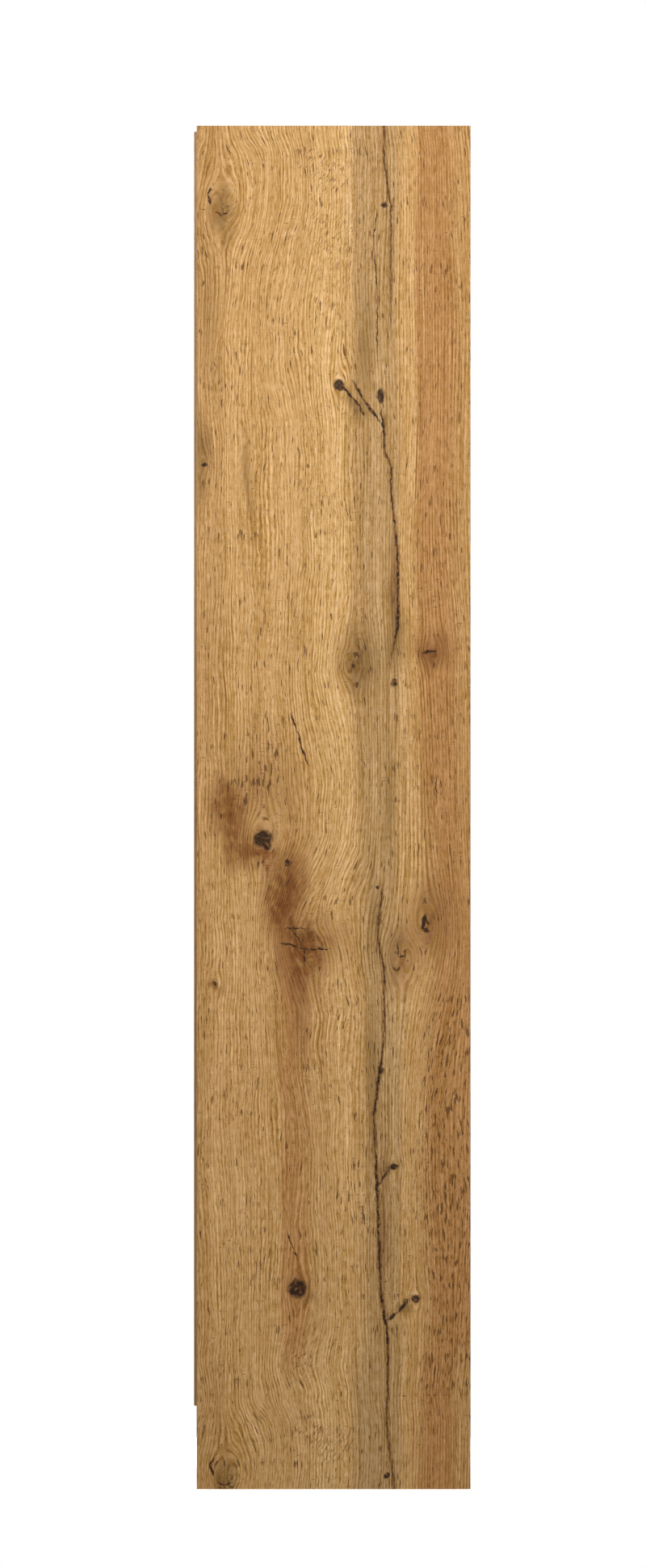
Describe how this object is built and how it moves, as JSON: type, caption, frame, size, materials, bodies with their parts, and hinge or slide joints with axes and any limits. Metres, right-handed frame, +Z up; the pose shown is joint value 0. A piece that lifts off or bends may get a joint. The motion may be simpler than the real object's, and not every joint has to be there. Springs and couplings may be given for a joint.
{
  "type": "pantry cabinet",
  "caption": "Tall pantry cabinet of oak-decor board: flat push-open doors without handles between full-height side panels, shelves inside, set-back plinth below.",
  "frame": {"origin": "centre of the bounding box on the floor: mid-width, mid-depth from door faces to rear edges, undersides of the side panels", "axes": "+X to the right seen from the front, +Y from the doors to the back, +Z up"},
  "size_m": [0.8, 0.4, 1.97],
  "materials": {
    "oak_decor_board": "matt melamine decor, knotty oak print on chipboard",
    "oak_edge_band": "matt printed edge band",
    "back_board": "thin fibreboard, printed in front and raw behind",
    "joint_strip": "extruded plastic, matt",
    "zinc_casting": "die-cast zinc, dull nickel plated",
    "plated_steel": "pressed steel, nickel plated",
    "screw_steel": "zinc plated",
    "beech_dowel": "fluted beech, raw",
    "cap_plastic": "moulded, matt",
    "latch_plastic": "moulded, matt",
    "plunger_plastic": "moulded, satin"
  },
  "bodies": {
    "carcass": {"adjustable_shelf_1": "oak_decor_board", "adjustable_shelf_2": "oak_decor_board", "adjustable_shelf_3": "oak_decor_board", "adjustable_shelf_4": "oak_decor_board", "arm_screws": "screw_steel", "back_joint_strip": "joint_strip", "back_panel_left": "back_board", "back_panel_right": "back_board", "board_edge_bands": "oak_edge_band", "bottom_panel": "oak_decor_board", "bracket_screws": "screw_steel", "cam_bolts": "plated_steel", "cam_caps": "cap_plastic", "cam_locks": "zinc_casting", "fixed_shelf": "oak_decor_board", "hinge_arms_left": "plated_steel", "hinge_arms_right": "plated_steel", "hinge_plates_left": "zinc_casting", "hinge_plates_right": "zinc_casting", "latch_screws": "screw_steel", "left_side_edge_band": "oak_edge_band", "left_side_panel": "oak_decor_board", "plate_screws": "screw_steel", "plinth_board": "oak_decor_board", "push_latch_left": "latch_plastic", "push_latch_right": "latch_plastic", "right_side_edge_band": "oak_edge_band", "right_side_panel": "oak_decor_board", "shelf_pins_1": "plated_steel", "shelf_pins_2": "plated_steel", "shelf_pins_3": "plated_steel", "shelf_pins_4": "plated_steel", "top_panel": "oak_decor_board", "wall_bracket_left": "plated_steel", "wall_bracket_right": "plated_steel", "wood_dowels": "beech_dowel"},
    "left_door": {"left_door": "oak_decor_board", "left_door_edge_band": "oak_edge_band", "hinge_cups_left": "plated_steel", "hinge_pins_left": "plated_steel", "cup_screws_left": "screw_steel", "latch_strike_left": "plated_steel"},
    "right_door": {"right_door": "oak_decor_board", "right_door_edge_band": "oak_edge_band", "hinge_cups_right": "plated_steel", "hinge_pins_right": "plated_steel", "cup_screws_right": "screw_steel", "latch_strike_right": "plated_steel"},
    "left_plunger": {"latch_plunger_left": "plunger_plastic"},
    "right_plunger": {"latch_plunger_right": "plunger_plastic"}
  },
  "joints": [
    {"name": "left_door_hinge", "type": "hinge", "parent": "carcass", "child": "left_door", "pos_m": [-0.373, -0.1929, 0.985], "axis": [0, 0, -1], "range_deg": [0, 100]},
    {"name": "right_door_hinge", "type": "hinge", "parent": "carcass", "child": "right_door", "pos_m": [0.373, -0.1929, 0.985], "axis": [0, 0, 1], "range_deg": [0, 100]},
    {"name": "left_plunger_slide", "type": "slide", "parent": "carcass", "child": "left_plunger", "axis": [0, -1, 0], "range_m": [0, 0.014]},
    {"name": "right_plunger_slide", "type": "slide", "parent": "carcass", "child": "right_plunger", "axis": [0, -1, 0], "range_m": [0, 0.014]}
  ],
  "couplings": [
    {"joint": "left_plunger_slide", "follows": "left_door_hinge", "m_per_rad": 0.008},
    {"joint": "right_plunger_slide", "follows": "right_door_hinge", "m_per_rad": 0.008}
  ]
}
